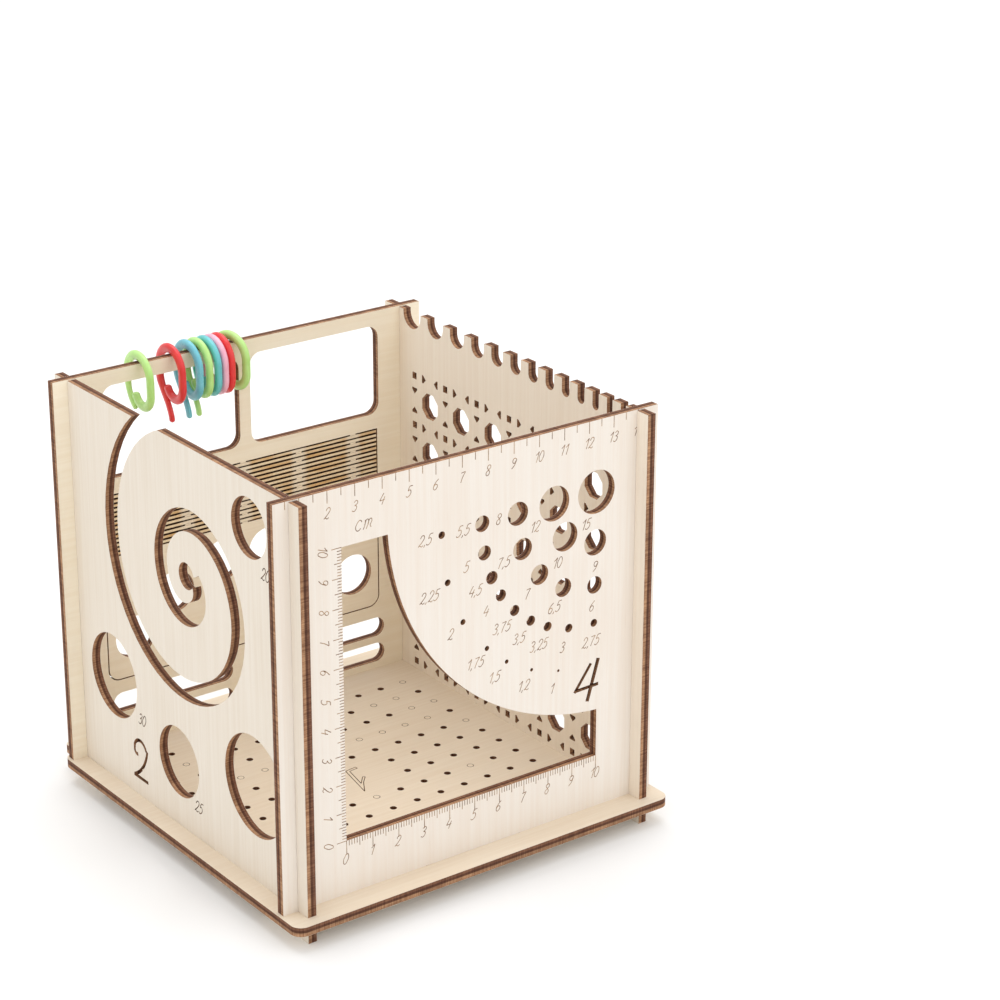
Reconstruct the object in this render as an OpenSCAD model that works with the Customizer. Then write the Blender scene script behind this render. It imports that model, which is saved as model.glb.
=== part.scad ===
// Open-top yarn dispenser box laser-cut from plywood.
// Four walls cross-lap at the corners and stand in a pierced base plate.
// +X runs along the needle gauge wall, which faces -Y. The floor is z = 0.

/* [Sheet] */
// Thickness of the plywood
ply = 3.2; // [2.6:0.1:4]
// Free play on each side of a lap or a tab in its slot
play = 0.05; // [0.03:0.01:0.2]

/* [Walls] */
// Length of every wall, end to end
wall_l = 147.5; // [135:0.5:180]
// Height of the walls above the base plate
wall_h = 138.3; // [130:0.1:170]
// How far a wall runs on past the outer face of the wall it crosses
overhang = 5.5; // [4:0.5:8]
// How far the spiral and cane walls stop below the top of the other two
top_step = 0.4; // [0:0.1:1]
// Height of the cross-lap above the base plate
lap_z = 64; // [40:1:90]

/* [Base plate] */
// Ledge past the ends of the gauge wall and the tool wall
side_ledge = 1.25; // [0.5:0.25:6]
// Ledge in front of the ends of the spiral and cane walls
front_ledge = 4.5; // [2:0.5:12]
// Ledge behind the ends of the spiral and cane walls
rear_ledge = 5; // [2:0.5:12]
// Width of the cut at each rear corner
rear_cut_w = 5.25; // [3:0.25:6]
// Depth of the cut at each rear corner
rear_cut_d = 8.5; // [6:0.5:10]
// Radius of the corners of the base plate
base_r = 4; // [1:0.5:4.5]
// Diameter of the small holes in the base plate
hole_d = 2.4; // [1.5:0.1:4]
// Distance between the small holes
hole_pitch = 9.8; // [8:0.1:12]
// Columns of small holes, counted along the gauge wall
hole_cols = 12; // [4:2:12]
// Rows of small holes, counted along the spiral wall
hole_rows = 11; // [5:2:11]
// Height of the feet under the base plate
foot_h = 6; // [3:0.5:12]
// Length of a foot
foot_l = 22; // [10:1:35]
// Length of the tab in the middle of each wall
tab_l = 36; // [20:1:50]
// Gap left beyond each end of a middle tab in its slot
tab_gap = 1.2; // [0.2:0.1:2]

/* [Spiral wall] */
// Width of the yarn slot
slot_w = 8; // [5:0.5:9]
// Distance of the spiral's centre from the rear end of the wall
spiral_a = 80; // [75:1:85]
// Depth of the spiral's centre below the top of the other two walls
spiral_drop = 47.3; // [45:0.1:50]
// Radius of the round end of the slot
bulb_r = 4.6; // [3.5:0.1:5]

/* [Needle gauge wall] */
// Distance of the ruler window from the left end of the wall
window_x = 24.1; // [20:0.1:30]
// Height of the ruler window above the base plate
window_z = 18.9; // [14:0.1:24]
// Side of the square that the ruler window is cut from
window_side = 100; // [95:0.5:105]
// Radius of the arc that closes the window
arc_r = 88.8; // [84:0.2:94]
// Distance of the arc's centre from the left and lower edges
arc_c = 105.7; // [102:0.1:108]

/* [Cane pattern wall] */
// Pitch of the cane pattern
cane_pitch = 18.6; // [16:0.1:19]
// Cells of the cane pattern along the wall and upwards
cane_cells = 6; // [3:1:6]
// Height of the lowest row of the pattern
cane_z = 3.1; // [2:0.1:8]
// Distance across the flats of an eight-sided hole
cane_hole = 9.4; // [6:0.1:11]
// Side of a small square hole
cane_square = 2.5; // [1.5:0.1:3]
// Length of a small pointed hole, from its flat end to its point
cane_tri = 2.3; // [1.5:0.1:2.6]
// Width of a small pointed hole at its flat end
cane_tri_w = 3; // [2:0.1:3.4]
// Distance from a square to its pointed holes
cane_tri_at = 5.7; // [5.2:0.1:6.2]
// Number of notches along the top edge
notch_count = 13; // [5:1:13]
// Distance of the first notch's middle from the inside of the box
notch_first = 7.9; // [6:0.1:8]
// Width of the widest notch
notch_w = 10.4; // [8:0.1:10.5]
// Width of each notch as a share of the one before it
notch_ratio = 0.892; // [0.85:0.001:0.895]
// Width of the wood between two notches
notch_tooth = 4.2; // [3:0.1:4.3]
// Depth of the notches
notch_depth = 6.1; // [5.5:0.1:12]

/* [Tool wall] */
// Width of each of the two windows at the top
top_window_w = 53.5; // [44:0.5:56]
// Height of the two windows at the top
top_window_h = 33.2; // [28:0.1:34]
// Width of the bar between the two windows
mullion = 4.5; // [3:0.5:8]
// Height of the rail over the windows
rail_h = 5.3; // [4:0.1:8]
// Width of the fold-out shelf
shelf_w = 112.5; // [90:0.5:118]
// How far the shelf's middle lies left of the wall's middle
shelf_shift = 1.7; // [0:0.1:3]
// Height of the shelf's lower edge above the base plate
shelf_z = 25.5; // [24:0.5:30]
// Height of the lowest slit of the hinge above the base plate
hinge_z = 71.4; // [68:0.1:74]
// Distance between the slits
slit_pitch = 1.61; // [1.5:0.01:1.7]
// Width of a laser cut
kerf = 0.45; // [0.35:0.05:0.6]
// Diameter of the tool holes in the shelf
tool_hole_d = 15.5; // [10:0.5:16]
// Distance of the outermost tool hole from the shelf's end
tool_outer = 10.8; // [9:0.1:12]
// Distance of the innermost tool hole from the shelf's middle
tool_inner = 9.25; // [8.5:0.05:10]
// Length of the oblong slots under the shelf
oblong_l = 48.5; // [30:0.5:50]
// Height of the oblong slots
oblong_h = 7.4; // [5:0.1:8]
// Distance of the oblong slots from the end of the wall
oblong_x = 16.8; // [12:0.1:18]
// Height of the lower oblong slots above the base plate
oblong_z = 2.6; // [2:0.1:4]
// Distance from the lower oblong slots to the upper ones
oblong_step = 10.2; // [9.5:0.1:11]

/* [Stitch markers] */
// Thickness of a marker's rod
rod_d = 2.3; // [1.8:0.1:2.4]
// Clearance between the rail and a marker's loop
rail_gap = 0.7; // [0.6:0.1:1.2]
// Radius of the loop, to the middle of the rod
loop_r = 7; // [6.6:0.1:7.5]
// Radius of the hook at the lower end, to the middle of the rod
hook_r = 5; // [4.6:0.1:5]
// Straight run between the loop and the hook
loop_drop = 3.7; // [3:0.1:5]
// Length of the straight tail of a marker that is open
tail_l = 14.6; // [10:0.1:16]
// Length of the tail of a marker that is shut, with its end tucked under the hook
tail_shut = 8; // [6:0.5:9]
// Lean of the tail from upright, in degrees
tail_lean = 32.5; // [28:0.5:33]

/* [Hidden] */
SLAT_NODES = ["hinge_slat_01", "hinge_slat_02", "hinge_slat_03", "hinge_slat_04", "hinge_slat_05",
    "hinge_slat_06", "hinge_slat_07", "hinge_slat_08", "hinge_slat_09", "hinge_slat_10",
    "hinge_slat_11", "hinge_slat_12", "hinge_slat_13", "hinge_slat_14"];
MARKER_NODES = ["stitch_marker_1", "stitch_marker_2", "stitch_marker_3", "stitch_marker_4",
    "stitch_marker_5", "stitch_marker_6", "stitch_marker_7", "stitch_marker_8"];

// Heights
base_top = foot_h + ply;
wall_top = base_top + wall_h;

// Plan of the walls: the box is square, and its walls' faces are at these places
half_l = wall_l / 2;
face_at = half_l - overhang;              // outer faces of the crossed walls
base_front = -half_l - front_ledge;
base_rear = half_l + rear_ledge;
shift_y = -(base_front + base_rear) / 2;  // puts the origin under the middle of the base plate

// Places of the round gauge holes, as [diameter, across, up] on the needle gauge wall
GAUGE = [
    [2.5, 61.4, 113.7], [5.5, 77, 113.7], [8, 91, 113.7], [12, 105.5, 113.7], [15, 122.6, 113.7],
    [5, 77.9, 103.6], [7.5, 92.9, 101.2], [10, 110, 101.2], [9, 122.4, 96.2],
    [2.25, 63.6, 97.1], [4.5, 80.8, 94.4], [7, 99.8, 90.6], [6.5, 109.5, 83.6], [6, 122.4, 81.2],
    [4, 84.4, 87.4], [3.75, 89.9, 80.7], [3.5, 96.4, 75.4], [3.25, 103.3, 71.5], [3, 112, 68.6],
    [2.75, 122.4, 67.7], [2, 69.5, 82.1], [1.75, 78.9, 70.4], [1.5, 86.8, 63.6],
    [1.2, 96.9, 57.9], [1, 107.9, 54.5]];

// Round holes of the spiral wall, as [diameter, across, up] from the spiral's centre
SPIRAL_HOLES = [[20, 39.4, 31.3], [30, -49.4, -51.8], [25, -8.4, -67.5], [35, 38.3, -57.1]];

// Tool holes of the shelf, as [share of the way from outermost to innermost, up from its lower edge]
TOOL_HOLES = [[0, 14.3], [0.45, 27], [1, 34]];

// Radius of the yarn slot's middle line by turns from the top edge inwards
SPIRAL = [[-0.1, 54.8], [0, 51.5], [0.15, 45.8], [0.26, 42.8], [0.4, 39], [0.57, 34.3], [0.65, 31.2],
    [0.78, 25.6], [0.89, 21.9], [0.99, 18.3], [1.15, 14.4], [1.4, 11.8], [1.58, 9.8], [1.73, 6.2],
    [1.85, 3.2]];
spiral_z = wall_h - spiral_drop;
spiral_from = 122;                        // direction of the middle line after no turns, in degrees
spiral_first = SPIRAL[0][0];
spiral_last = 1.74;                       // turns at which the slot runs into its round end
spiral_steps = 110;
SPIRAL_END = [1, 2];                      // round end of the slot, from the spiral's centre

// Lower left corners of the numbers cut through the walls
TWO_AT = [40.6, 6];
FOUR_AT = [114.5, 40];
FIVE_AT = [67.5, 4.5];

// Small holes of the base plate whose slug is still in, as [column, row]
SLUGS = [[5, 3], [9, 3], [11, 6], [7, 7], [8, 7], [9, 7], [10, 7], [10, 8], [11, 8], [9, 9], [10, 9],
    [11, 10], [2, 7], [3, 7], [4, 7], [0, 5], [1, 9]];
// Small holes left out round the number on the base plate
NUMBER_GAP = [[5, 4], [6, 4], [5, 5], [6, 5]];

// Hinge: its slits run right across the shelf, and a slat is left between each two of them
slits = len(SLAT_NODES) + 1;
hinge_top = hinge_z + (slits - 1) * slit_pitch;   // height of the highest slit
slat_h = slit_pitch - kerf;
shelf_x = half_l - shelf_shift - shelf_w / 2;

// Stitch markers: place of each along the rail, from the middle of the tool wall, and its colour
MARKER_X = [-40.4, -28, -21.2, -17.3, -13.9, -11.2, -8.5, -4.2];
MARKER_COLOR = ["yellowgreen", "red", "skyblue", "lightgreen", "cadetblue", "pink", "crimson",
    "yellowgreen"];
MARKER_TURN = [0, 0, 0, 0, 0, 0, 0, 12];  // turn of each about the upright through its loop
MARKER_OPEN = [false, true, true, true, false, false, false, false];
loop_top = rail_gap + rod_d / 2;          // top of the loop's middle line above the rail
hook_from = -155;                         // direction of the hook's free end, in degrees

$fn = 48;

wood = "burlywood";

// Flat shapes

module rounded_rect(w, h, r) {
    translate([r, 0]) square([w - 2 * r, h]);
    translate([0, r]) square([w, h - 2 * r]);
    for (x = [r, w - r], y = [r, h - r]) translate([x, y]) circle(r);
}

// Straight bar from one point to another, with square ends
module bar(from, to, w) {
    way = to - from;
    translate(from) rotate(atan2(way.y, way.x)) translate([-w / 2, -w / 2]) square([norm(way) + w, w]);
}

function arc_points(c, r, from, to, steps) =
    [for (i = [0 : steps]) let (a = from + (to - from) * i / steps) c + r * [cos(a), sin(a)]];

// Direction square to the path at point i
function across(path, i) = let (a = path[max(i - 1, 0)], b = path[min(i + 1, len(path) - 1)])
    [a.y - b.y, b.x - a.x] / norm(b - a);
function beside(path, d) = [for (i = [0 : len(path) - 1]) path[i] + d * across(path, i)];
function reversed(list) = [for (i = [len(list) - 1 : -1 : 0]) list[i]];

// Band of even width along the path
module band(path, w) {
    polygon(concat(beside(path, w / 2), reversed(beside(path, -w / 2))));
}

// Numbers that name the walls, 15 mm tall, with the lower left corner at the origin
module number_two() {
    band(concat(arc_points([3.2, 10.6], 1.5, -60, -200, 5), arc_points([5.6, 10.9], 4, 160, 20, 8),
        arc_points([-6.5, 16], 17, -13, -64, 8)), 1.3);
    bar([1.2, 0.7], [9.3, 0.7], 1.3);
}

module number_four() {
    bar([6.6, 12.9], [0.6, 4.9], 1.2);
    bar([0.8, 4.9], [9.6, 5.2], 1.2);
    bar([9.8, 13.8], [5.8, 0.6], 1.5);
}

module number_five() {
    bar([8.6, 14.2], [3.6, 13.9], 1.3);
    bar([3.4, 14], [2.4, 8.2], 1.3);
    band(arc_points([4.6, 4.6], 4.2, 128, -150, 12), 1.3);
}

// Wall shapes are drawn as seen from the side that shows their pattern: x across from the left
// end, y up from the top of the base plate

module across_x() {
    rotate([90, 0, 0]) translate([0, 0, -ply]) linear_extrude(ply) children();
}

module across_y() {
    rotate([0, 0, -90]) across_x() children();
}

// Slot for the wall that crosses: its near side is overhang from each end
module lap_slots(z0, h) {
    for (x = [overhang, wall_l - overhang - ply]) {
        translate([x - play, z0]) square([ply + 2 * play, h]);
    }
}

// Middle tab, which ends flush with the underside of the base plate
module middle_tab() {
    translate([(wall_l - tab_l) / 2, -ply]) square([tab_l, ply + 1]);
}

// Foot at each end, which stands on the floor
module feet() {
    for (x = [0, wall_l - foot_l]) translate([x, -base_top]) square([foot_l, base_top + 1]);
}

module blank_wall(h) {
    square([wall_l, h]);
    middle_tab();
}

// Base plate

module base_outline() {
    w = wall_l + 2 * side_ledge;
    body_d = base_rear - rear_cut_d - base_front;
    translate([-w / 2, base_front]) rounded_rect(w, body_d, base_r);
    apron_w = w - 2 * rear_cut_w;
    translate([-apron_w / 2, 0]) rounded_rect(apron_w, base_rear, base_r / 2);
}

// A hole of the grid is cut unless it is left out or its slug is still in
function hole_open(c, r) = len([for (s = concat(SLUGS, NUMBER_GAP)) if (s == [c, r]) 1]) == 0;

module base_holes() {
    for (c = [0 : hole_cols - 1], r = [0 : hole_rows - 1]) if (hole_open(c, r)) {
        x = (c - (hole_cols - 1) / 2) * hole_pitch;
        y = (r - (hole_rows - 1) / 2) * hole_pitch;
        translate([x, y]) circle(d = hole_d, $fn = 16);
    }
}

module base_slots() {
    slot = ply + 2 * play;
    tab_slot = tab_l + 2 * tab_gap;
    for (side = [-1, 1]) {
        translate([-tab_slot / 2, side * (face_at - ply / 2) - slot / 2]) square([tab_slot, slot]);
        translate([side * (face_at - ply / 2) - slot / 2, -tab_slot / 2]) square([slot, tab_slot]);
        for (end = [-1, 1]) {
            translate([side * (face_at - ply / 2) - slot / 2, end * (half_l - foot_l / 2) - foot_l / 2])
                square([slot, foot_l]);
        }
    }
}

module base_plate() {
    color(wood) translate([0, shift_y, foot_h]) linear_extrude(ply) difference() {
        base_outline();
        base_holes();
        base_slots();
    }
}

// Spiral wall, seen from outside

// Radius of the slot's middle line after t turns, with the corners of the table rounded
function spiral_r(t) =
    (lookup(t - 0.05, SPIRAL) + 2 * lookup(t, SPIRAL) + lookup(t + 0.05, SPIRAL)) / 4;
function spiral_point(t, side) = let (a = spiral_from + 360 * t)
    [spiral_a, spiral_z] + (spiral_r(t) + side * slot_w / 2) * [cos(a), sin(a)];
spiral_t = [for (i = [0 : spiral_steps])
    spiral_first + (spiral_last - spiral_first) * i / spiral_steps];

module yarn_slot() {
    n = spiral_steps;
    polygon(concat([for (t = spiral_t) spiral_point(t, 1)],
        [for (i = [0 : n]) spiral_point(spiral_t[n - i], -1)]));
    translate([spiral_a, spiral_z] + SPIRAL_END) circle(bulb_r);
}

module spiral_wall() {
    color(wood) translate([-face_at, half_l + shift_y, base_top]) across_y() difference() {
        union() {
            blank_wall(wall_h - top_step);
            feet();
        }
        lap_slots(lap_z, wall_h);
        yarn_slot();
        for (h = SPIRAL_HOLES) translate([spiral_a + h[1], spiral_z + h[2]]) circle(d = h[0], $fn = 96);
        translate(TWO_AT) number_two();
    }
}

// Needle gauge wall, seen from outside

module ruler_window() {
    translate([window_x, window_z]) difference() {
        square(window_side);
        translate([arc_c, arc_c]) circle(arc_r, $fn = 180);
    }
}

module needle_gauge_wall() {
    color(wood) translate([-half_l, -face_at + shift_y, base_top]) across_x() difference() {
        blank_wall(wall_h);
        lap_slots(-1, lap_z + 1);
        ruler_window();
        for (g = GAUGE) translate([g[1], g[2]]) circle(d = g[0], $fn = 48);
        translate(FOUR_AT) number_four();
    }
}

// Cane pattern wall, seen from inside

// Hole with a flat end and a point, which lies to the right of the middle
module pointed_hole() {
    flank = cane_tri / 3;
    translate([-cane_tri / 2, 0]) polygon([[0, -cane_tri_w / 2], [flank, -cane_tri_w / 2],
        [cane_tri, 0], [flank, cane_tri_w / 2], [0, cane_tri_w / 2]]);
}

module cane_pattern() {
    first = (wall_l - cane_cells * cane_pitch) / 2;
    for (i = [0 : cane_cells], j = [0 : cane_cells]) {
        translate([first + i * cane_pitch, cane_z + j * cane_pitch]) {
            square(cane_square, center = true);
            if (i < cane_cells && j < cane_cells) {
                translate([cane_pitch, cane_pitch] / 2) rotate(22.5)
                    circle(d = cane_hole / cos(22.5), $fn = 8);
            }
            if (i < cane_cells) {
                translate([cane_tri_at, 0]) pointed_hole();
                translate([cane_pitch - cane_tri_at, 0]) rotate(180) pointed_hole();
            }
            if (j < cane_cells) {
                translate([0, cane_tri_at]) rotate(90) pointed_hole();
                translate([0, cane_pitch - cane_tri_at]) rotate(-90) pointed_hole();
            }
        }
    }
}

// Distance of notch i from the first one: the wood, half of each end notch and the whole ones between
function notch_at(i) = i * notch_tooth
    + notch_w * (1 - pow(notch_ratio, i)) * (1 + notch_ratio) / (1 - notch_ratio) / 2;

module notches() {
    first = overhang + ply + notch_first;
    for (i = [0 : notch_count - 1]) translate([first + notch_at(i), wall_h - top_step]) {
        w = notch_w * pow(notch_ratio, i);
        polygon(concat([[w / 2, 1], [-w / 2, 1]],
            arc_points([0, w / 2 - notch_depth], w / 2, 180, 360, 16)));
    }
}

module cane_pattern_wall() {
    color(wood) translate([face_at - ply, half_l + shift_y, base_top]) across_y() difference() {
        union() {
            blank_wall(wall_h - top_step);
            feet();
        }
        lap_slots(lap_z, wall_h);
        cane_pattern();
        notches();
    }
}

// Tool wall, seen from inside

module top_windows() {
    z = wall_h - rail_h - top_window_h;
    for (x = [half_l - mullion / 2 - top_window_w, half_l + mullion / 2]) {
        translate([x, z]) rounded_rect(top_window_w, top_window_h, mullion);
    }
}

module oblong(l, h) {
    translate([h / 2, 0]) square([l - h, h]);
    for (x = [h / 2, l - h / 2]) translate([x, h / 2]) circle(d = h);
}

module oblong_slots() {
    for (x = [oblong_x, wall_l - oblong_x - oblong_l], z = [oblong_z, oblong_z + oblong_step]) {
        translate([x, z]) oblong(oblong_l, oblong_h);
    }
}

// Opening of the shelf and the hinge, wider than them by a laser cut
module shelf_opening() {
    r = mullion;
    translate([shelf_x - kerf, shelf_z - kerf]) {
        h = hinge_top + kerf / 2 - shelf_z + kerf;
        rounded_rect(shelf_w + 2 * kerf, h, r);
        translate([0, r]) square([shelf_w + 2 * kerf, h - r]);
    }
}

module tool_wall() {
    color(wood) translate([-half_l, face_at - ply + shift_y, base_top]) across_x() difference() {
        blank_wall(wall_h);
        lap_slots(-1, lap_z + 1);
        top_windows();
        shelf_opening();
        oblong_slots();
        translate(FIVE_AT) number_five();
    }
}

module shelf_outline() {
    r = mullion - kerf;
    h = hinge_z - kerf / 2 - shelf_z;
    rounded_rect(shelf_w, h, r);
    translate([0, r]) square([shelf_w, h - r]);
}

module tool_holes() {
    way = shelf_w / 2 - tool_inner - tool_outer;
    for (h = TOOL_HOLES, side = [-1, 1]) {
        x = shelf_w / 2 + side * (shelf_w / 2 - tool_outer - h[0] * way);
        translate([x, h[1]]) circle(d = tool_hole_d, $fn = 64);
    }
}

module fold_out_shelf() {
    color(wood) translate([shelf_x - half_l, face_at - ply + shift_y, base_top + shelf_z]) across_x()
    difference() {
        shelf_outline();
        tool_holes();
    }
}

// Slat number i of the hinge, from 1 at the top
module hinge_slat(i) {
    z = base_top + hinge_top - i * slit_pitch + kerf / 2;
    color(wood) translate([shelf_x - half_l, face_at - ply + shift_y, z]) cube([shelf_w, ply, slat_h]);
}

// Stitch marker: a loop over the rail, a hook curled inwards at its lower end and a straight tail

// Middle line of the rod with a tail of length l, with x to the front and the loop's upper centre at the origin
hook_c = [loop_r - hook_r, -loop_drop];
tail_top = [-loop_r, -loop_drop - 1];
function marker_path(l) = concat(arc_points(hook_c, hook_r, hook_from, 0, 9),
    arc_points([0, 0], loop_r, 0, 180, 14), [tail_top, tail_top + l * [sin(tail_lean), -cos(tail_lean)]]);

module stitch_marker(i) {
    x = MARKER_X[i];
    y = face_at - ply / 2 + shift_y;
    // The shape's x axis points to the front of the box and its y axis upwards
    color(MARKER_COLOR[i]) translate([x, y, wall_top + loop_top - loop_r])
        rotate([0, 0, MARKER_TURN[i] - 90]) rotate([90, 0, 0]) translate([0, 0, -rod_d / 2])
        linear_extrude(rod_d) band(marker_path(MARKER_OPEN[i] ? tail_l : tail_shut), rod_d);
}

base_plate();
spiral_wall();
needle_gauge_wall();
cane_pattern_wall();
tool_wall();
fold_out_shelf();
for (i = [0 : len(SLAT_NODES) - 1]) {
    hinge_slat(i + 1);
}
for (i = [0 : len(MARKER_NODES) - 1]) {
    stitch_marker(i);
}
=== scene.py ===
from math import cos, hypot, pi, radians, sin, sqrt

import bpy
from mathutils import Matrix, Vector


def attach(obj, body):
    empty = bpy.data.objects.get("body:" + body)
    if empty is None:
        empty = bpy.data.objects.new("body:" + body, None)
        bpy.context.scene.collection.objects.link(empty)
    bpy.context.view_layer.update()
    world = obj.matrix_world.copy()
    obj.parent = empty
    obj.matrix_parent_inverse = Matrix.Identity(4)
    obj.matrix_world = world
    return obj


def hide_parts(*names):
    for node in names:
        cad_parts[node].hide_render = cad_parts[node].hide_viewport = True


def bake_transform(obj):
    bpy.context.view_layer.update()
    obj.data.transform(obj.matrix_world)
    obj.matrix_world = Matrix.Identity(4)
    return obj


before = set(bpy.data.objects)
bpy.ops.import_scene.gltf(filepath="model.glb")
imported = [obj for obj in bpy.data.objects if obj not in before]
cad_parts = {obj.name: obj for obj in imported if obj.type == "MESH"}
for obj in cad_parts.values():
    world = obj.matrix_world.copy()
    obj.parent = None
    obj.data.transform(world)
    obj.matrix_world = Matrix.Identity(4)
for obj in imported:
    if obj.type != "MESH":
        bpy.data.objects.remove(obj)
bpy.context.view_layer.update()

MM = 0.001

# The box, in millimetres: the plywood, half a wall's length, how far a wall runs past the one it
# crosses, how far the walls' centre lies behind the base plate's, the top of the base plate and the
# height of the walls above it
PLY = 3.2
HALF_WALL = 73.75
OVERHANG = 5.5
SHIFT_Y = -0.25
BASE_TOP = 9.2
WALL_H = 138.3
# The middle planes of the walls, and the rear end of the spiral wall
WALL_SIDE = HALF_WALL - OVERHANG - PLY / 2
WALL_FRONT = SHIFT_Y - WALL_SIDE
WALL_REAR = SHIFT_Y + WALL_SIDE
SPIRAL_EDGE = SHIFT_Y + HALF_WALL

# A face's finish ends, and a cut edge's begins, this far from the sheet's middle, as a share of it
FACE_FROM = 0.4885

# The hinge of the fold-out shelf: its slits, the lowest slit's height above the base plate, the distance
# between slits, and a laser cut's width
SLITS = 15
SLIT_FOOT = 71.4
SLIT_PITCH = 1.61
KERF = 0.45
SLIT_TOP = BASE_TOP + SLIT_FOOT + (SLITS - 1) * SLIT_PITCH
# The bridges of wood across a slit, whose places change from one slit to the next
LAND_W = 2.2
LAND_MIDDLE = -1.55
LAND_STEP = 23
LANDS_ODD = tuple(LAND_MIDDLE + LAND_STEP * i for i in (-2, 0, 2))
LANDS_EVEN = tuple(LAND_MIDDLE + LAND_STEP * i for i in (-1, 1))
LAND_ROWS = 4

# The stitch markers: each one's place along the rail, its turn, whether it is open, and its colour
MARKERS = ((-40.4, 0, False, "light_green"), (-28, 0, True, "red"), (-21.2, 0, True, "sky_blue"),
           (-17.3, 0, True, "light_green"), (-13.9, 0, False, "teal"), (-11.2, 0, False, "pink"),
           (-8.5, 0, False, "red"), (-4.2, 12, False, "light_green"))
# The middle of a marker's loop hangs this far below the top of the rail
LOOP_DROP = 5.15
MARKER_Z = BASE_TOP + WALL_H - LOOP_DROP
# A marker's rod: its radius across the loop, its thickness as a share of that, and its tail's radius as a
# share of the loop's
ROD_R = 1.7
ROD_FLAT = 0.74
THIN = 0.74
# Its middle line, from the loop's centre
LOOP_R = 7.5
HOOK_R = 5.2
HOOK_AT = (2.3, -4.8)
TAIL_OPEN = ((-LOOP_R, -4.6), (-5.6, -8.2), (-2.4, -13.2), (-0.6, -16.8), (-0.3, -19.2))
TAIL_SHUT = ((-LOOP_R, -4.4), (-6.6, -7.3), (-4.8, -10.2), (-2.4, -12.1))
# The tail thins over a stretch of its length that starts this far from its tip
THIN_FROM = 16
THIN_OVER = 9

# The grid of small holes in the base plate, and those whose round slug is still in, as column and row
SLUGS = ((5, 3), (9, 3), (11, 6), (7, 7), (8, 7), (9, 7), (10, 7), (10, 8), (11, 8), (9, 9), (10, 9),
         (11, 10), (2, 7), (3, 7), (4, 7), (0, 5), (1, 9))
HOLE_PITCH = 9.8
LAST_COLUMN = 11
LAST_ROW = 10
SLUG_R = 1.12
SLUG_CUT = 0.11

# The lower left corner of the ruler window on the needle gauge wall, and where the ruler along the
# wall's top edge begins, both from the wall's left end
WINDOW_LEFT = 24.1
WINDOW_FOOT = 18.9
TOP_RULER_FROM = -0.67


def srgb(red, green, blue):
    """A colour as a screen shows it, from 0 to 255, in the linear values that shaders work in."""
    def linear(value):
        value /= 255
        return value / 12.92 if value <= 0.04045 else ((value + 0.055) / 1.055) ** 2.4
    return (linear(red), linear(green), linear(blue), 1)


class Field:
    """A value that changes over a surface. Arithmetic on it adds the nodes that work it out."""

    def __init__(self, finish, socket):
        self.finish = finish
        self.socket = socket

    def sum(self, operation, *values):
        return self.finish.node("ShaderNodeMath", {"operation": operation}, dict(enumerate(values)))

    def __add__(self, other):
        return self.sum("ADD", self, other)

    def __sub__(self, other):
        return self.sum("SUBTRACT", self, other)

    def __rsub__(self, other):
        return self.sum("SUBTRACT", other, self)

    def __mul__(self, other):
        return self.sum("MULTIPLY", self, other)

    def __truediv__(self, other):
        return self.sum("DIVIDE", self, other)

    def __abs__(self):
        return self.sum("ABSOLUTE", self)

    def __lt__(self, other):
        return self.sum("LESS_THAN", self, other)

    def cycle(self):
        return self.sum("FRACT", self)

    def rise(self, low, high):
        """0 below low, 1 above high, and a smooth rise between them."""
        return self.finish.node("ShaderNodeMapRange", {"interpolation_type": "SMOOTHSTEP"},
                                {0: self, 1: low, 2: high})

    __radd__ = __add__
    __rmul__ = __mul__


class Finish:
    """A material while it is being made: one Principled shader and the nodes that feed it."""

    def __init__(self, name):
        self.material = bpy.data.materials.new(name)
        self.material.use_nodes = True
        self.tree = self.material.node_tree
        self.shader = self.tree.nodes["Principled BSDF"]

    def join(self, value, socket):
        if isinstance(value, Field):
            self.tree.links.new(value.socket, socket)
        else:
            socket.default_value = value

    def node(self, kind, settings, values, output=0):
        """Adds a node, sets it, gives its sockets their values or links, and returns one output."""
        made = self.tree.nodes.new(kind)
        for key, setting in settings.items():
            setattr(made, key, setting)
        for key, value in values.items():
            self.join(value, made.inputs[key])
        return Field(self, made.outputs[output])

    def feed(self, **values):
        for key, value in values.items():
            self.join(value, self.shader.inputs[key.replace("_", " ")])
        return self.material

    def shine(self, specular):
        self.shader.inputs["Specular IOR Level"].default_value = specular
        return self.material

    def place(self):
        """Where a point lies on the object, in millimetres, as one vector."""
        spot = self.node("ShaderNodeTexCoord", {}, {}, "Object")
        return self.stretch(spot, (1000, 1000, 1000))

    def stretch(self, vector, by):
        return self.node("ShaderNodeVectorMath", {"operation": "MULTIPLY"}, {0: vector, 1: by})

    def along(self, vector, axis):
        return self.node("ShaderNodeSeparateXYZ", {}, {0: vector}, axis)

    def noise(self, vector, by, detail=3, roughness=0.55):
        return self.node("ShaderNodeTexNoise", {}, {"Vector": self.stretch(vector, by), "Scale": 1,
                                                    "Detail": detail, "Roughness": roughness})

    def mix(self, first, second, factor):
        return self.node("ShaderNodeMix", {"data_type": "RGBA"}, {0: factor, 6: first, 7: second}, 2)

    def bump(self, height, strength, distance):
        return self.node("ShaderNodeBump", {}, {"Strength": strength, "Distance": distance,
                                                "Height": height})


def by_axis(axis, value, others):
    """Three numbers: value on one axis and others on the other two."""
    return [value if i == axis else others for i in range(3)]


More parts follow.
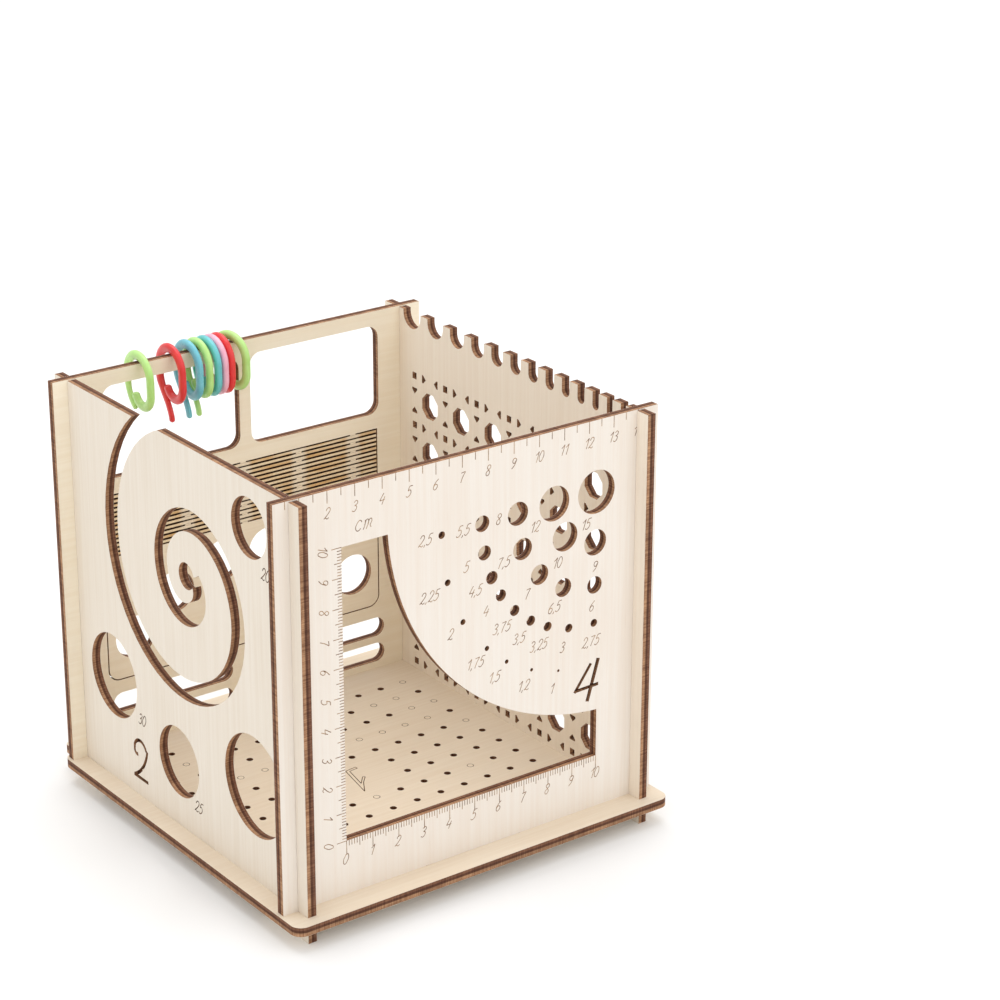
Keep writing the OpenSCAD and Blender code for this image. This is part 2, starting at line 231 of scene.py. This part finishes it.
def plywood(name, across, middle, grain, light, dark):
    """Laser-cut birch plywood. across is the axis of its thickness, grain that of its face grain."""
    finish = Finish(name)
    spot = finish.place()
    depth = (finish.along(spot, across) - middle) / PLY
    # the faces: faint long grain, a few fine pores and broad clouds
    long_grain = finish.noise(spot, by_axis(grain, 0.018, 0.75), 5, 0.62)
    fine_grain = finish.noise(spot, by_axis(grain, 0.09, 5.5), 3, 0.6)
    clouds = finish.noise(spot, (0.022, 0.022, 0.022), 2, 0.5)
    veins = long_grain.rise(0.3, 0.72) * 0.55 + clouds.rise(0.3, 0.7) * 0.25 + fine_grain * 0.2
    face = finish.mix(dark, light, veins)
    pores = finish.noise(spot, by_axis(grain, 0.16, 7.5), 1, 0.5).rise(0.74, 0.8)
    face = finish.mix(face, srgb(196, 168, 136), pores * 0.3)
    # the cut edges: three plies, burnt, with the glue lines between them darkest
    streaks = finish.noise(spot, by_axis(across, 0.05, 2.6), 3, 0.65).rise(0.3, 0.72)
    smoke = finish.noise(spot, by_axis(across, 0.6, 0.12), 3, 0.6).rise(0.3, 0.7)
    core = finish.mix(srgb(74, 43, 29), srgb(112, 73, 52), streaks)
    outer = finish.mix(srgb(104, 66, 48), srgb(150, 106, 80), streaks)
    near = finish.mix(srgb(146, 102, 72), srgb(200, 156, 118), streaks)
    off_core = abs(depth - 0.04)
    burnt = finish.mix(outer, near, depth < 0.04)
    burnt = finish.mix(burnt, core, off_core < 0.11)
    glue = (1 - abs(off_core - 0.12).rise(0, 0.035)) * 0.7
    burnt = finish.mix(burnt, srgb(54, 30, 20), glue)
    burnt = finish.mix(burnt, srgb(70, 41, 28), smoke * 0.45)
    scorch = abs(depth).rise(0.42, 0.5) * 0.35
    burnt = finish.mix(burnt, srgb(64, 36, 24), scorch)
    cut = abs(depth) < FACE_FROM
    colour = finish.mix(face, burnt, cut)
    height = (1 - cut) * (long_grain * 0.6 + fine_grain * 0.4) + cut * (streaks * 1.2)
    finish.feed(Base_Color=colour, Roughness=0.66 + cut * 0.14 - veins * 0.06,
                Normal=finish.bump(height, 0.12, 0.00008))
    finish.shader.inputs["IOR"].default_value = 1.45
    return finish.shine(0.3)


def hinge_wood(name):
    """The hinge's slats: bare wood, golden next to each slit (partly laser browning, partly painted light
    of the slit's lit lower cut face), with a painted shadow of the slit's deep gap along each slit, and
    black at the cuts.
    """
    finish = Finish(name)
    spot = finish.place()
    depth = (finish.along(spot, 1) - WALL_REAR) / PLY
    height = finish.along(spot, 2)
    phase = ((height - SLIT_TOP) / SLIT_PITCH + 20).cycle()
    off_slit = (0.5 - abs(phase - 0.5)) * SLIT_PITCH
    # golden next to each slit: partly laser browning, partly painted light standing in for the slit's lit
    # lower cut face
    laser_brown_and_painted_light = 1 - off_slit.rise(0.22, 0.5)
    across = finish.along(spot, 0)
    to_land = (((across - LAND_MIDDLE) / LAND_STEP + 20).cycle() - 0.5) * LAND_STEP
    clean = abs(to_land).rise(LAND_STEP / 2 - 4.2, LAND_STEP / 2 - 1.6)
    clouds = finish.noise(spot, (0.07, 0.05, 0.62), 3, 0.6).rise(0.38, 0.68)
    fine_grain = finish.noise(spot, (0.12, 6, 6), 3, 0.6)
    face = finish.mix(srgb(240, 224, 192), srgb(214, 172, 112), clouds * 0.8 + fine_grain * 0.2)
    # the golden band by the slits: part laser browning, part painted light
    face = finish.mix(face, srgb(160, 112, 66), laser_brown_and_painted_light * 0.6)
    face = finish.mix(face, srgb(240, 228, 206), clean * 0.85)
    # a dark band along each slit: painted shadow of the slit's deep gap
    painted_slit_shadow = 1 - off_slit.rise(0.3, 0.42)
    face = finish.mix(face, srgb(62, 40, 26), painted_slit_shadow * (1 - clean * 0.6))
    burnt = finish.mix(srgb(48, 28, 18), srgb(86, 54, 36),
                       finish.noise(spot, (2.4, 0.3, 1), 3, 0.6))
    cut = abs(depth) < FACE_FROM
    finish.feed(Base_Color=finish.mix(face, burnt, cut), Roughness=0.7 + cut * 0.12,
                Normal=finish.bump(fine_grain, 0.12, 0.00006))
    return finish.shine(0.25)


def land_wood(name):
    """The short bridges of the hinge, cream in the middle and browned at the slits' round ends."""
    finish = Finish(name)
    spot = finish.place()
    depth = (finish.along(spot, 1) - WALL_REAR) / PLY
    fine_grain = finish.noise(spot, (0.12, 6, 6), 3, 0.6)
    face = finish.mix(srgb(242, 230, 210), srgb(232, 216, 190), fine_grain)
    cut = abs(depth) < FACE_FROM
    finish.feed(Base_Color=finish.mix(face, srgb(70, 42, 27), cut), Roughness=0.72 + cut * 0.1,
                Normal=finish.bump(fine_grain, 0.1, 0.00006))
    return finish.material


def engraved(name, light, dark):
    """The laser's thin drawn line: brown, dry, and paler where it ran faster."""
    finish = Finish(name)
    spot = finish.place()
    speed = finish.noise(spot, (0.5, 0.5, 0.5), 2, 0.5).rise(0.35, 0.65)
    finish.feed(Base_Color=finish.mix(dark, light, speed), Roughness=0.82 + speed * 0.06)
    return finish.shine(0.15)


def moulded(name, colour, shade):
    """Glossy soft plastic, a little deeper in colour in the thick of it, with faint flow marks."""
    finish = Finish(name)
    spot = finish.place()
    flow = finish.noise(spot, (0.25, 0.25, 0.25), 2, 0.5)
    finish.feed(Base_Color=finish.mix(colour, shade, flow.rise(0.3, 0.75) * 0.55),
                Roughness=0.24 + flow * 0.1,
                Normal=finish.bump(finish.noise(spot, (0.6, 0.6, 0.6), 2, 0.5), 0.05, 0.0001))
    shader = finish.shader.inputs
    shader["Subsurface Weight"].default_value = 0.12
    shader["Subsurface Radius"].default_value = (0.002, 0.002, 0.002)
    shader["Coat Weight"].default_value = 0.25
    shader["Coat Roughness"].default_value = 0.12
    return finish.material


def start():
    """Object mode with nothing selected, as every step of modelling begins."""
    if bpy.context.mode != "OBJECT":
        bpy.ops.object.mode_set(mode="OBJECT")
    bpy.ops.object.select_all(action="DESELECT")


def keep(piece, name, body, material):
    """Names a finished piece, gives it its material, and lets it ride on its body."""
    piece.name = name
    piece.data.name = name
    piece.data.materials.clear()
    piece.data.materials.append(material)
    if body:
        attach(piece, body)
    return piece


def settle():
    """The active object's place, turn and size go into its mesh."""
    bpy.ops.object.transform_apply(location=True, rotation=True, scale=True)
    return bpy.context.object


# The drawn figures, each one or more strokes in a box one high, as (closed, points)
FIGURES = {
    "0": ((True, ((0.30, 1), (0.07, 0.74), (0.02, 0.32), (0.22, 0), (0.45, 0.25), (0.49, 0.7))),),
    "1": ((False, ((0.08, 0.7), (0.24, 0.84), (0.38, 1))), (False, ((0.38, 1), (0.33, 0.5), (0.28, 0)))),
    "2": ((False, ((0.08, 0.74), (0.16, 0.94), (0.36, 1), (0.5, 0.82), (0.4, 0.5), (0.05, 0.06))),
          (False, ((0.0, 0.02), (0.16, 0.1), (0.34, -0.02), (0.52, 0.07)))),
    "3": ((False, ((0.1, 0.85), (0.3, 1), (0.48, 0.82), (0.36, 0.6), (0.22, 0.54))),
          (False, ((0.22, 0.54), (0.44, 0.44), (0.46, 0.2), (0.26, 0), (0.04, 0.1)))),
    "4": ((False, ((0.3, 1), (0.16, 0.68), (0.02, 0.34))),
          (False, ((0.02, 0.34), (0.28, 0.36), (0.54, 0.38))),
          (False, ((0.5, 0.66), (0.42, 0.3), (0.34, -0.05)))),
    "5": ((False, ((0.52, 1), (0.34, 1), (0.18, 0.97))), (False, ((0.18, 0.97), (0.14, 0.78), (0.1, 0.58))),
          (False, ((0.1, 0.58), (0.34, 0.62), (0.46, 0.4), (0.36, 0.1), (0.12, 0), (-0.02, 0.12)))),
    "6": ((False, ((0.44, 0.96), (0.2, 0.7), (0.04, 0.3), (0.18, 0), (0.42, 0.12), (0.42, 0.4),
                   (0.22, 0.5), (0.06, 0.34))),),
    "7": ((False, ((0.04, 0.92), (0.27, 0.96), (0.5, 0.98))), (False, ((0.5, 0.98), (0.3, 0.5), (0.2, 0)))),
    "8": ((True, ((0.28, 0.54), (0.08, 0.78), (0.27, 1), (0.47, 0.8), (0.28, 0.54), (0.06, 0.25),
                  (0.22, 0), (0.45, 0.23))),),
    "9": ((False, ((0.44, 0.72), (0.26, 0.5), (0.06, 0.7), (0.2, 0.98), (0.46, 0.86), (0.44, 0.6),
                   (0.34, 0.28), (0.1, 0))),),
    ",": ((False, ((0.1, 0.08), (0.06, -0.04), (0.0, -0.14))),),
    "c": ((False, ((0.42, 0.52), (0.28, 0.66), (0.08, 0.5), (0.06, 0.14), (0.24, 0), (0.44, 0.12))),),
    "m": ((False, ((0.04, 0.6), (0.08, 0.3), (0.02, 0))),
          (False, ((0.06, 0.3), (0.2, 0.62), (0.3, 0.5), (0.24, 0))),
          (False, ((0.28, 0.3), (0.44, 0.62), (0.54, 0.5), (0.5, 0.14), (0.6, 0.06)))),
}
# How far each figure moves the next one on, and how much all of them lean
ADVANCE = {",": 0.26, "1": 0.5, "m": 0.75}
USUAL_ADVANCE = 0.62
LEAN = 0.26


def figures(text, across, up, height, turn=0):
    """The strokes of a number, centred at a point of a wall and leaning to the right."""
    width = sum(ADVANCE.get(letter, USUAL_ADVANCE) for letter in text) - 0.1
    turned = Matrix.Rotation(radians(turn), 2)
    strokes = []
    pen = -width / 2
    for letter in text:
        for closed, points in FIGURES[letter]:
            line = []
            for x, y in points:
                spot = turned @ Vector((pen + x + LEAN * (y - 0.5), y - 0.5)) * height
                line.append((across + spot.x, up + spot.y))
            strokes.append((closed, True, line))
        pen += ADVANCE.get(letter, USUAL_ADVANCE)
    return strokes


def tick(across, up, along, rise):
    """One straight mark of a ruler, from a point of the wall."""
    return (False, False, [(across, up), (across + along, up + rise)])


def gauge_wall_strokes():
    """Everything drawn on the needle gauge wall, in millimetres from its lower left corner."""
    labels = {"2,5": (55.3, 113.5), "5,5": (69.8, 113.2), "8": (83.5, 113.7), "12": (97.9, 107.6),
              "15": (118.6, 103.4), "5": (71, 100.6), "7,5": (85.6, 98.5), "10": (107.1, 92.9),
              "9": (122.6, 87.7), "2,25": (56.8, 94.1), "4,5": (74.5, 91.6), "7": (95, 85.1),
              "6,5": (106.1, 77.6), "6": (121.6, 74), "4": (78.6, 83.5), "3,75": (84.9, 76.1),
              "3,5": (91.8, 70.5), "3,25": (99.8, 65.9), "3": (109.5, 62.4), "2,75": (121.4, 61.4),
              "2": (64.8, 79.1), "1,75": (74.5, 66.5), "1,5": (82, 59.5), "1,2": (93.8, 53.1),
              "1": (105.4, 48.7)}
    strokes = []
    for text, (across, up) in labels.items():
        strokes += figures(text, across, up, 3.5)
    strokes += figures("cm", 32.8, 125.2, 5)
    # the ruler along the top edge, marked every half centimetre
    for half in range(1, 29):
        strokes.append(tick(TOP_RULER_FROM + 5 * half, WALL_H, 0, -2.5 if half % 2 else -4))
    for mark in range(2, 15):
        strokes += figures(str(mark), TOP_RULER_FROM + 10 * mark, 131.1, 3.4)
    # the rulers down the window's left side and along its foot, marked every millimetre
    for step in range(101):
        side, below = (3.6, 5) if step % 10 == 0 else (2.7, 3) if step % 5 == 0 else (1.6, 1.9)
        strokes.append(tick(WINDOW_LEFT, WINDOW_FOOT + step, -side, 0))
        strokes.append(tick(WINDOW_LEFT + step, WINDOW_FOOT, 0, -below))
    for mark in range(11):
        strokes += figures(str(mark), 17.4, WINDOW_FOOT + 10 * mark, 3.4, -90)
        strokes += figures(str(mark), WINDOW_LEFT + 10 * mark - 0.3, 12.6, 3.5)
    return strokes


def round_curve(radius, facets):
    """A curve with no splines yet, which sweeps a circle of this radius, in millimetres."""
    start()
    bpy.ops.curve.primitive_bezier_curve_add()
    curve = bpy.context.object
    data = curve.data
    data.splines.clear()
    data.dimensions = "3D"
    data.resolution_u = 5
    data.bevel_mode = "ROUND"
    data.bevel_depth = radius * MM
    data.bevel_resolution = facets
    data.use_fill_caps = True
    return curve


def engrave(name, strokes, width, wall, material):
    """Draws strokes as thin flattened ridges sunk in a wall, whose plane the wall's matrix places."""
    drawn = round_curve(width / 2, 1)
    data = drawn.data
    for closed, smooth, line in strokes:
        spline = data.splines.new("BEZIER" if smooth else "POLY")
        points = spline.bezier_points if smooth else spline.points
        points.add(len(line) - 1)
        for point, (x, y) in zip(points, line):
            point.co = (x * MM, y * MM, 0) if smooth else (x * MM, y * MM, 0, 1)
            if smooth:
                point.handle_left_type = "AUTO"
                point.handle_right_type = "AUTO"
        spline.use_cyclic_u = closed
    bpy.ops.object.convert(target="MESH")
    drawn.scale = (1, 1, 0.18)
    settle()
    drawn.matrix_world = wall
    settle()
    keep(drawn, name, "box", material)


def wall_plane(origin, right, up):
    """The matrix from a wall's own plane, right and up, into the box, at an origin in millimetres."""
    right, up = Vector(right), Vector(up)
    turn = Matrix((right, up, right.cross(up))).transposed()
    return Matrix.Translation(Vector(origin) * MM) @ turn.to_4x4()


def join_up(pieces):
    """Makes pieces one object, with their places in its mesh."""
    start()
    for piece in pieces:
        piece.select_set(True)
    bpy.context.view_layer.objects.active = pieces[0]
    bpy.ops.object.join()
    return settle()


def slug_rings(material):
    """The fine round cuts of the holes whose slugs never fell out, on both faces of the base plate."""
    start()
    bpy.ops.mesh.primitive_torus_add(major_segments=28, minor_segments=6, major_radius=SLUG_R * MM,
                                     minor_radius=SLUG_CUT * MM)
    ring = bpy.context.object
    ring.scale = (1, 1, 0.2)
    settle()
    rings = []
    for column, row in SLUGS:
        for height in (BASE_TOP, BASE_TOP - PLY):
            copy = ring.copy()
            copy.data = ring.data.copy()
            bpy.context.collection.objects.link(copy)
            copy.location = ((column - LAST_COLUMN / 2) * HOLE_PITCH * MM,
                             ((row - LAST_ROW / 2) * HOLE_PITCH + SHIFT_Y) * MM, height * MM)
            rings.append(copy)
    bpy.data.objects.remove(ring)
    keep(join_up(rings), "base_slug_cuts", "box", material)


def hinge_lands(number, material):
    """The bridges of wood across one slit. Their sides hollow where the slit ends are round."""
    height = SLIT_TOP - SLIT_PITCH * (number - 1)
    places = LANDS_ODD if number % 2 else LANDS_EVEN
    lands = []
    for place in places:
        start()
        bpy.ops.mesh.primitive_grid_add(x_subdivisions=1, y_subdivisions=LAND_ROWS, size=1,
                                        rotation=(pi / 2, 0, 0))
        land = settle()
        for vertex in land.data.vertices:
            level = vertex.co.z
            drop = abs(level) * KERF
            flare = KERF / 2 - sqrt(max((KERF / 2) ** 2 - drop ** 2, 0))
            half = LAND_W / 2 + flare
            vertex.co.x = (half if vertex.co.x > 0 else -half) * MM + place * MM
            vertex.co.z = (height + level * KERF) * MM
            vertex.co.y = (WALL_REAR + PLY / 2) * MM
        bpy.ops.object.mode_set(mode="EDIT")
        bpy.ops.mesh.select_all(action="SELECT")
        bpy.ops.mesh.extrude_region_move(TRANSFORM_OT_translate={"value": (0, -PLY * MM, 0)})
        bpy.ops.mesh.select_all(action="SELECT")
        bpy.ops.mesh.normals_make_consistent(inside=False)
        bpy.ops.object.mode_set(mode="OBJECT")
        lands.append(land)
    joined = keep(join_up(lands), f"hinge_lands_{number:02d}", None, material)
    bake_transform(joined)


def softened(points, times):
    """Cuts the corners of an open line, so that it bends smoothly."""
    for _ in range(times):
        smooth = [points[0]]
        for (x0, y0), (x1, y1) in zip(points, points[1:]):
            smooth.append((0.75 * x0 + 0.25 * x1, 0.75 * y0 + 0.25 * y1))
            smooth.append((0.25 * x0 + 0.75 * x1, 0.25 * y0 + 0.75 * y1))
        points = smooth + [points[-1]]
    return points


def even_steps(points, step):
    """Points a step apart along a line, ends kept."""
    lengths = [hypot(b[0] - a[0], b[1] - a[1]) for a, b in zip(points, points[1:])]
    count = max(2, round(sum(lengths) / step))
    spaced = []
    piece, walked = 0, 0.0
    for i in range(count + 1):
        target = sum(lengths) * i / count
        while piece < len(lengths) - 1 and walked + lengths[piece] < target:
            walked += lengths[piece]
            piece += 1
        share = min((target - walked) / lengths[piece], 1)
        (x0, y0), (x1, y1) = points[piece], points[piece + 1]
        spaced.append((x0 + (x1 - x0) * share, y0 + (y1 - y0) * share))
    return spaced, sum(lengths)


def marker_line(tail):
    """A stitch marker's middle line: its hook, its loop over the rail and its tail."""
    hook = [(HOOK_AT[0] + HOOK_R * cos(radians(a)), HOOK_AT[1] + HOOK_R * sin(radians(a)))
            for a in range(-165, 1, 5)]
    loop = [(LOOP_R * cos(radians(a)), LOOP_R * sin(radians(a))) for a in range(0, 181, 6)]
    return softened(hook + loop + list(tail), 2)


def blunt_end(tip, inward, thickness):
    """Points from a rod's tip inwards, as x, y and share of the rod's radius, for a rounded end."""
    x, y = tip
    gap = hypot(inward[0] - x, inward[1] - y)
    spots = []
    for off in (0, 0.06, 0.22, 0.5, 0.85):
        share = off / gap
        bulge = sqrt(max(1 - (1 - off) ** 2, 0.0004))
        spots.append((x + (inward[0] - x) * share, y + (inward[1] - y) * share, bulge * thickness))
    return spots


def marker_rod(number, place, turn, is_open, material):
    """One moulded stitch marker, an oval rod with blunt rounded ends, in place on the rail."""
    line, length = even_steps(marker_line(TAIL_OPEN if is_open else TAIL_SHUT), 0.55)
    last = len(line) - 1
    spots = blunt_end(line[0], line[1], 1)
    for i in range(2, last - 1):
        to_tip = length * (1 - i / last)
        thinning = min(max((THIN_FROM - to_tip) / THIN_OVER, 0), 1)
        spots.append((*line[i], 1 - (1 - THIN) * thinning))
    spots += blunt_end(line[last], line[last - 1], THIN)[::-1]
    rod = round_curve(ROD_R, 5)
    spline = rod.data.splines.new("POLY")
    spline.points.add(len(spots) - 1)
    for point, (x, y, radius) in zip(spline.points, spots):
        point.co = (0, -x * MM, y * MM, 1)
        point.radius = radius
    bpy.ops.object.convert(target="MESH")
    bpy.ops.object.mode_set(mode="EDIT")
    bpy.ops.mesh.select_all(action="SELECT")
    bpy.ops.mesh.remove_doubles(threshold=0.00001)
    bpy.ops.mesh.normals_make_consistent(inside=False)
    bpy.ops.object.mode_set(mode="OBJECT")
    bpy.ops.object.shade_smooth()
    rod.scale = (ROD_FLAT, 1, 1)
    rod.rotation_euler = (0, 0, radians(turn))
    rod.location = (place * MM, WALL_REAR * MM, MARKER_Z * MM)
    settle()
    keep(rod, f"marker_rod_{number}", f"marker_{number}", material)
    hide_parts(f"stitch_marker_{number}")


def dress(node, material):
    """Gives a piece from the frame its material."""
    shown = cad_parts[node]
    shown.data.materials.clear()
    shown.data.materials.append(material)


def area_light(name, at, aim, size, power, colour):
    """A square light that faces a point. Both places are in millimetres and the size is in metres."""
    start()
    bpy.ops.object.light_add(type="AREA", location=[v * MM for v in at])
    light = bpy.context.object
    light.name = name
    light.data.shape = "SQUARE"
    light.data.size = size
    light.data.energy = power
    light.data.color = colour
    toward = Vector(aim) - Vector(at)
    light.rotation_euler = toward.to_track_quat("-Z", "Y").to_euler()


# Camera: fitted to the rulers and corners of the box in the photograph
start()
bpy.ops.object.camera_add(location=(-0.49791, -0.74517, 0.4684),
                          rotation=(radians(68.1607), radians(-0.1955), radians(-36.8205)))
camera = bpy.context.object
camera.name = "photo_camera"
camera.data.sensor_width = 36
camera.data.lens = 104.944
camera.data.clip_start = 0.05
bpy.context.scene.camera = camera

# The plywood pieces: the axis of the thickness, the middle plane, the axis of the face grain, and the
# light and dark tones of the face
PIECES = {
    "base_plate": (2, BASE_TOP - PLY / 2, 0, (235, 222, 203), (226, 209, 186)),
    "spiral_wall": (0, -WALL_SIDE, 2, (235, 226, 213), (226, 214, 197)),
    "cane_pattern_wall": (0, WALL_SIDE, 2, (244, 234, 219), (236, 222, 204)),
    "needle_gauge_wall": (1, WALL_FRONT, 2, (239, 232, 223), (233, 221, 208)),
    # The tool wall and the fold-out shelf have paler tones than the other walls: painted light, brightening
    # them beyond what the lamps give
    "tool_wall": (1, WALL_REAR, 0, (249, 240, 221), (242, 229, 205)),
    "fold_out_shelf": (1, WALL_REAR, 0, (249, 239, 219), (241, 227, 203)),
}
for node, (across, middle, grain, light, dark) in PIECES.items():
    dress(node, plywood(node + "_birch", across, middle, grain, srgb(*light), srgb(*dark)))
slat_finish = hinge_wood("hinge_slat_birch")
for number in range(1, SLITS):
    dress(f"hinge_slat_{number:02d}", slat_finish)

# The drawn lines
pale_line = engraved("drawn_line", srgb(178, 146, 114), srgb(122, 92, 68))
dark_line = engraved("dark_drawn_line", srgb(110, 82, 58), srgb(62, 42, 30))
gauge_plane = wall_plane((-HALF_WALL, WALL_FRONT - PLY / 2, BASE_TOP), (1, 0, 0), (0, 0, 1))
engrave("gauge_wall_rulers_and_numbers", gauge_wall_strokes(), 0.27, gauge_plane, pale_line)
spiral_plane = wall_plane((-WALL_SIDE - PLY / 2, SPIRAL_EDGE, BASE_TOP), (0, -1, 0), (0, 0, 1))
spiral_strokes = (figures("20", 128.4, 109.7, 4) + figures("30", 48.4, 29.5, 4)
                  + figures("25", 83.4, 11.6, 4) + figures("35", 135.5, 17.6, 4))
engrave("spiral_wall_numbers", spiral_strokes, 0.36, spiral_plane, dark_line)
# The outline of the number on the base plate
ONE = ((-5.9, -14.1), (-2.8, 2), (1.6, 2.7), (1.8, 1.6), (-1.7, 1.2), (-3.6, -8.6), (-0.4, -4.8),
       (0.3, -5.3), (-2.4, -8.3), (-5.9, -14.1))
one_strokes = [(False, False, [one_end, other_end]) for one_end, other_end in zip(ONE, ONE[1:])]
base_plane = wall_plane((0, 0, BASE_TOP), (1, 0, 0), (0, 1, 0))
engrave("base_number", one_strokes, 0.3, base_plane, dark_line)
slug_rings(engraved("slug_cut", srgb(128, 98, 70), srgb(84, 58, 40)))

# The hinge's bridges
land_finish = land_wood("hinge_land_birch")
for number in range(1, SLITS + 1):
    hinge_lands(number, land_finish)

# The stitch markers
# each colour of plastic as its usual tone and its deeper one
PLASTICS = {
    "light_green": ((194, 238, 146), (172, 224, 114)),
    "red": ((236, 56, 56), (214, 32, 40)),
    "sky_blue": ((120, 202, 216), (92, 182, 204)),
    "teal": ((112, 206, 212), (84, 186, 190)),
    "pink": ((250, 190, 210), (238, 160, 186)),
}
plastics = {name: moulded("marker_plastic_" + name, srgb(*colour), srgb(*shade))
            for name, (colour, shade) in PLASTICS.items()}
for number, (place, turn, is_open, colour) in enumerate(MARKERS, 1):
    marker_rod(number, place, turn, is_open, plastics[colour])

# Floor and lights
start()
bpy.ops.mesh.primitive_plane_add(size=80, location=(0, 0, 0))
ground = bpy.context.object
ground.name = "floor"
floor_finish = Finish("pale_floor")
floor_finish.feed(Base_Color=(0.93, 0.93, 0.93, 1), Roughness=0.9)
ground.data.materials.append(floor_finish.material)

world = bpy.data.worlds.new("studio")
bpy.context.scene.world = world
world.use_nodes = True
sky = world.node_tree.nodes["Background"]
sky.inputs["Color"].default_value = (1, 1, 1, 1)
sky.inputs["Strength"].default_value = 0.84
centre = (0, 0, 70)
area_light("key_light", (500, -1500, 1500), centre, 1.6, 7.6, (1, 0.985, 0.965))
area_light("fill_light", (-1700, -300, 1100), centre, 1.6, 3, (1, 1, 1))
area_light("top_light", (200, 500, 1900), centre, 1.8, 18, (1, 1, 1))
bpy.context.scene.view_settings.view_transform = "Standard"
